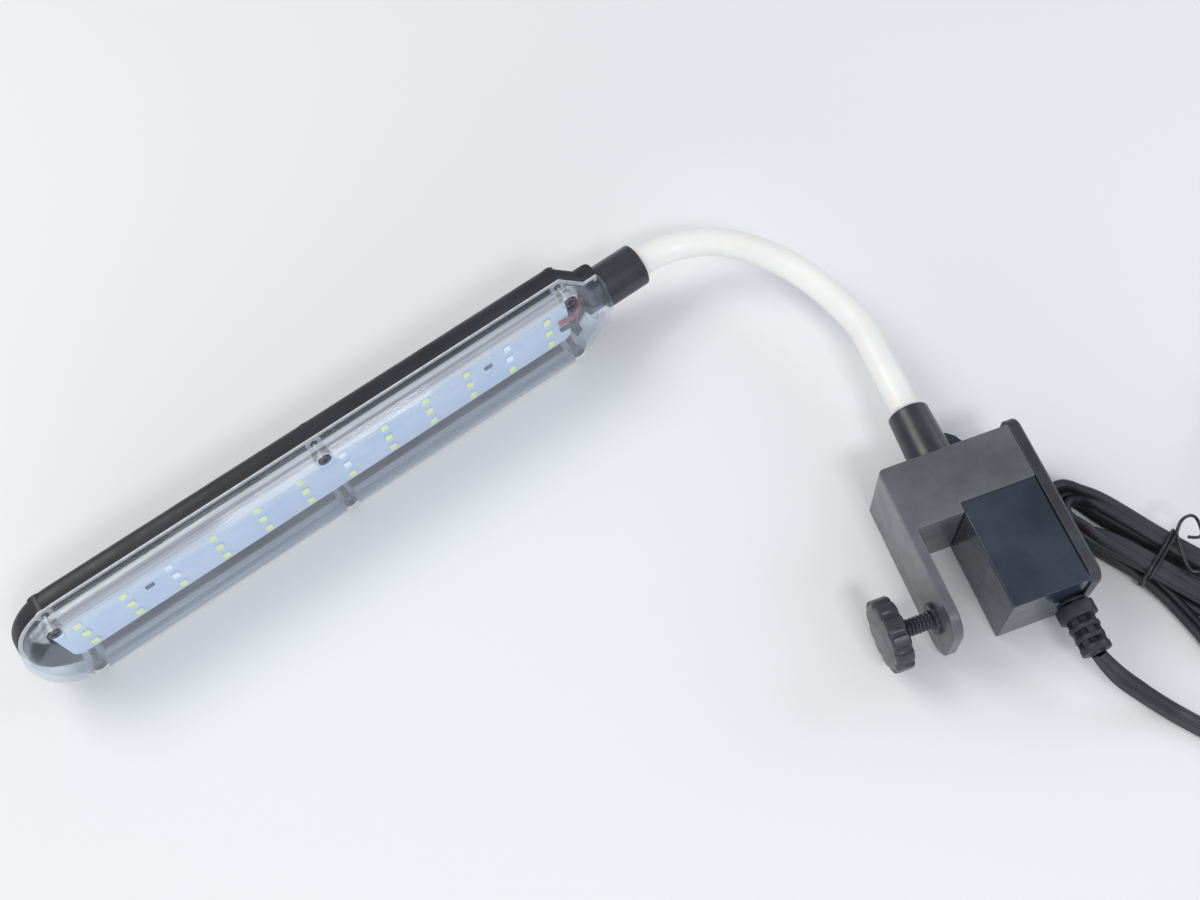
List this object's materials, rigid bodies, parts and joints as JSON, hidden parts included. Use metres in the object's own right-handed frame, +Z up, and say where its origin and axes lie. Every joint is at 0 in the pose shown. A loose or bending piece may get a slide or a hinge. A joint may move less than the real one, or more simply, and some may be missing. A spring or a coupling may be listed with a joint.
{
  "type": "led aquarium light",
  "caption": "Clip-on aquarium lamp: clear-covered LED head on a bendable gooseneck, thumbscrew clamp with driver box, rocker switch, and a mains lead tied in a hank.",
  "frame": {"origin": "on the shelf under the middle of the lamp's box, measured without the cord", "axes": "lamp lies on its side: +Z up from the shelf and across the clamp's depth, +Y from the clamp up into its gooseneck, +X from the clamp's flange towards its lid"},
  "size_m": [0.4461, 0.2748, 0.042],
  "materials": {
    "black_plastic": "satin moulded black",
    "gloss_black": "gloss moulded black",
    "clear_cover": "clear moulded polycarbonate",
    "white_sleeve": "smooth white silicone",
    "core_steel": "wound steel",
    "board_white": "white solder mask on aluminium",
    "led_yellow": "phosphor gel",
    "led_white": "phosphor gel",
    "screw_steel": "blackened steel",
    "gasket_rubber": "pale soft rubber",
    "resistor_black": "printed ceramic",
    "wire_red": "vinyl",
    "wire_black": "vinyl",
    "cord_black": "matt vinyl",
    "rocker_red": "moulded red",
    "board_green": "solder mask",
    "transformer_tape": "polyester tape",
    "capacitor_sleeve": "heat-shrink sleeve",
    "tip_rubber": "soft rubber",
    "pin_nickel": "nickel plate",
    "tie_black": "vinyl on wire"
  },
  "bodies": {
    "clamp": {"clamp_body": "gloss_black", "clamp_lid": "black_plastic", "lid_screws": "screw_steel", "clamp_ferrule": "black_plastic", "strain_relief": "cord_black", "switch_frame": "black_plastic", "driver_board": "board_green", "driver_transformer": "transformer_tape", "driver_capacitor": "capacitor_sleeve", "screw_bush": "black_plastic", "neck_sleeve_1": "white_sleeve", "neck_core_1": "core_steel", "cord_lead": "cord_black", "cord_tail": "cord_black", "cord_hank": "cord_black", "twist_tie": "tie_black", "plug_body": "cord_black", "plug_pins": "pin_nickel"},
    "rocker": {"switch_rocker": "rocker_red"},
    "screw_travel": {"screw_tip": "tip_rubber"},
    "thumbscrew": {"thumb_knob": "black_plastic", "screw_shaft": "black_plastic"},
    "neck_1": {"neck_sleeve_2": "white_sleeve", "neck_core_2": "core_steel"},
    "neck_2": {"neck_sleeve_3": "white_sleeve", "neck_core_3": "core_steel"},
    "neck_3": {"neck_sleeve_4": "white_sleeve", "neck_core_4": "core_steel"},
    "neck_4": {"neck_sleeve_5": "white_sleeve", "neck_core_5": "core_steel"},
    "neck_5": {"neck_sleeve_6": "white_sleeve", "neck_core_6": "core_steel"},
    "neck_6": {"neck_sleeve_7": "white_sleeve", "neck_core_7": "core_steel"},
    "head": {"neck_sleeve_8": "white_sleeve", "neck_core_8": "core_steel", "head_housing": "black_plastic", "lens_cover": "clear_cover", "head_gasket": "gasket_rubber", "cover_screws": "screw_steel", "led_board": "board_white", "led_chips_yellow": "led_yellow", "led_chips_white": "led_white", "board_resistors": "resistor_black", "head_ferrule": "black_plastic", "wire_positive": "wire_red", "wire_negative": "wire_black"}
  },
  "joints": [
    {"name": "gooseneck_sway_1", "type": "hinge", "parent": "clamp", "child": "neck_1", "pos_m": [0.13693, 0.01187, 0.021], "axis": [1, 0, 0], "range_deg": [-20, 20]},
    {"name": "gooseneck_sway_2", "type": "hinge", "parent": "neck_1", "child": "neck_2", "pos_m": [0.13693, 0.02487, 0.021], "axis": [1, 0, 0], "range_deg": [-20, 20]},
    {"name": "gooseneck_bend_1", "type": "hinge", "parent": "neck_2", "child": "neck_3", "pos_m": [0.13693, 0.03837, 0.021], "axis": [0, 0, 1], "range_deg": [-21, 8]},
    {"name": "gooseneck_bend_2", "type": "hinge", "parent": "neck_3", "child": "neck_4", "pos_m": [0.12591, 0.06681, 0.021], "axis": [0, 0, 1], "range_deg": [-21, 8]},
    {"name": "gooseneck_bend_3", "type": "hinge", "parent": "neck_4", "child": "neck_5", "pos_m": [0.1094, 0.08491, 0.021], "axis": [0, 0, 1], "range_deg": [-21, 8]},
    {"name": "gooseneck_bend_4", "type": "hinge", "parent": "neck_5", "child": "neck_6", "pos_m": [0.09687, 0.09115, 0.021], "axis": [0, 0, 1], "range_deg": [-21, 8]},
    {"name": "gooseneck_bend_5", "type": "hinge", "parent": "neck_6", "child": "head", "pos_m": [0.08044, 0.09267, 0.021], "axis": [0, 0, 1], "range_deg": [-21, 8]},
    {"name": "screw_advance", "type": "slide", "parent": "clamp", "child": "screw_travel", "axis": [1, 0, 0], "range_m": [0, 0.0105]},
    {"name": "screw_turn", "type": "hinge", "parent": "screw_travel", "child": "thumbscrew", "pos_m": [0.10673, -0.06913, 0.0154], "axis": [1, 0, 0], "range_deg": [0, 3024.1]},
    {"name": "switch_rock", "type": "hinge", "parent": "clamp", "child": "rocker", "pos_m": [0.16503, -0.06013, 0.0155], "axis": [0, 1, 0], "range_deg": [-18, 0]}
  ],
  "couplings": [
    {"joint": "gooseneck_sway_2", "follows": "gooseneck_sway_1", "ratio": 1},
    {"joint": "gooseneck_bend_2", "follows": "gooseneck_bend_1", "ratio": 1},
    {"joint": "gooseneck_bend_3", "follows": "gooseneck_bend_1", "ratio": 1},
    {"joint": "gooseneck_bend_4", "follows": "gooseneck_bend_1", "ratio": 1},
    {"joint": "gooseneck_bend_5", "follows": "gooseneck_bend_1", "ratio": 1},
    {"joint": "screw_turn", "follows": "screw_advance", "rad_per_m": 5026.5}
  ]
}
